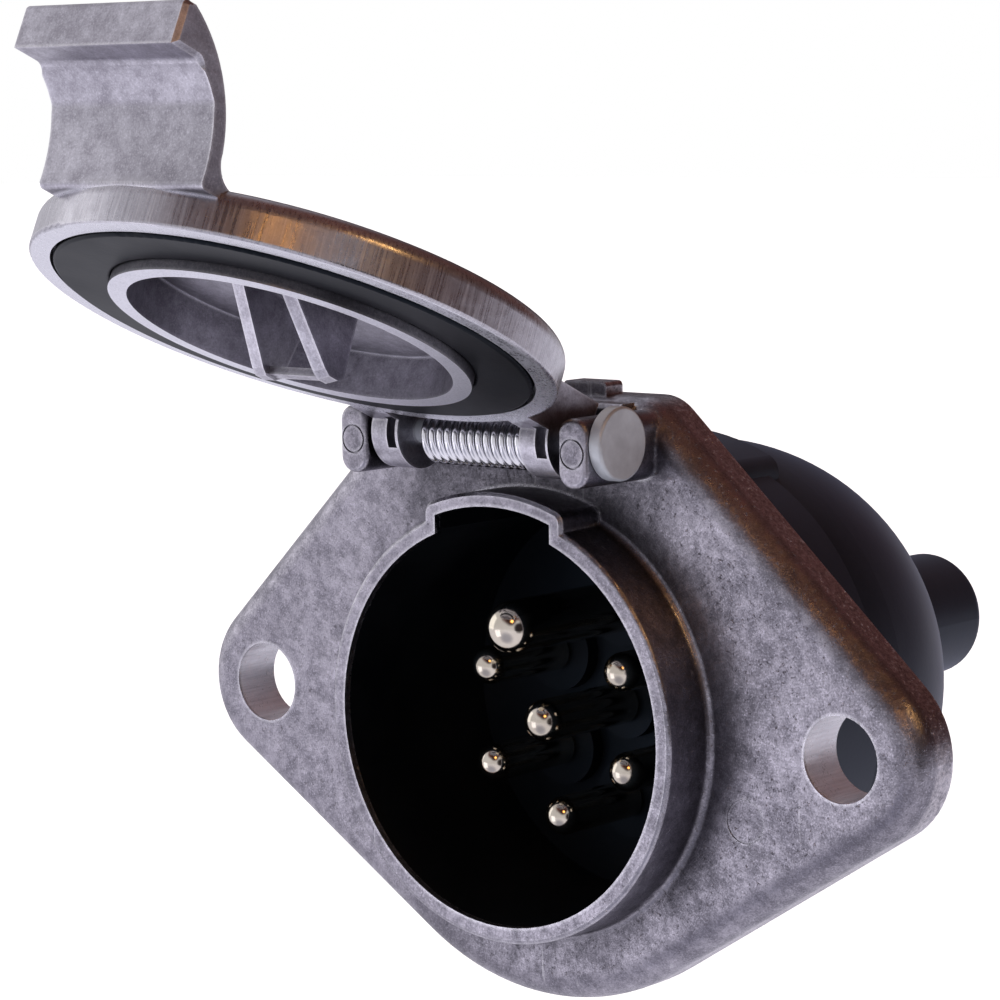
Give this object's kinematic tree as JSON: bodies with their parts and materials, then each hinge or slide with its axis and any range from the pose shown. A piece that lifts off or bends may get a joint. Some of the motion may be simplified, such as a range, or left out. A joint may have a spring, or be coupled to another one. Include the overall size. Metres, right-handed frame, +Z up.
{
  "type": "trailer wiring socket",
  "caption": "Round multi-pin trailer wiring socket with a diamond flange, a hinged sprung lid with gasket and grip tab, male contacts and a rubber rear boot.",
  "frame": {"origin": "centre of the flange's rear mounting face, on the socket axis", "axes": "+X to the right looking at the open socket, +Y rearwards into the panel, +Z up towards the lid hinge"},
  "size_m": [0.1102, 0.1554, 0.118],
  "materials": {
    "cast_metal": "satin die casting",
    "cast_lid": "ground die casting",
    "black_insert": "black moulded plastic",
    "boot_rubber": "matte black rubber",
    "gasket_rubber": "matte black rubber",
    "contact_plate": "nickel-plated brass",
    "plated_steel": "zinc-plated steel",
    "spring_steel": "bright spring wire",
    "ring_plastic": "black nylon"
  },
  "bodies": {
    "housing": {"flange_housing": "cast_metal", "contact_insert": "black_insert", "insert_ring": "ring_plastic", "rear_boot": "boot_rubber", "hinge_pin": "plated_steel", "lid_spring": "spring_steel", "ground_pin": "contact_plate", "centre_pin": "contact_plate", "contact_pin_1": "contact_plate", "contact_pin_2": "contact_plate", "contact_pin_3": "contact_plate", "contact_pin_4": "contact_plate", "contact_pin_5": "contact_plate", "terminal_screw_1": "plated_steel", "terminal_screw_2": "plated_steel", "terminal_screw_3": "plated_steel", "terminal_screw_4": "plated_steel", "terminal_screw_5": "plated_steel", "terminal_screw_6": "plated_steel", "terminal_screw_7": "plated_steel"},
    "lid": {"lid": "cast_lid", "lid_gasket": "gasket_rubber"}
  },
  "joints": [
    {"name": "lid_hinge", "type": "hinge", "parent": "housing", "child": "lid", "pos_m": [0, -0.0144, 0.03475], "axis": [-1, 0, 0], "range_deg": [-114.7, 14], "deforming": ["lid_spring"]}
  ]
}
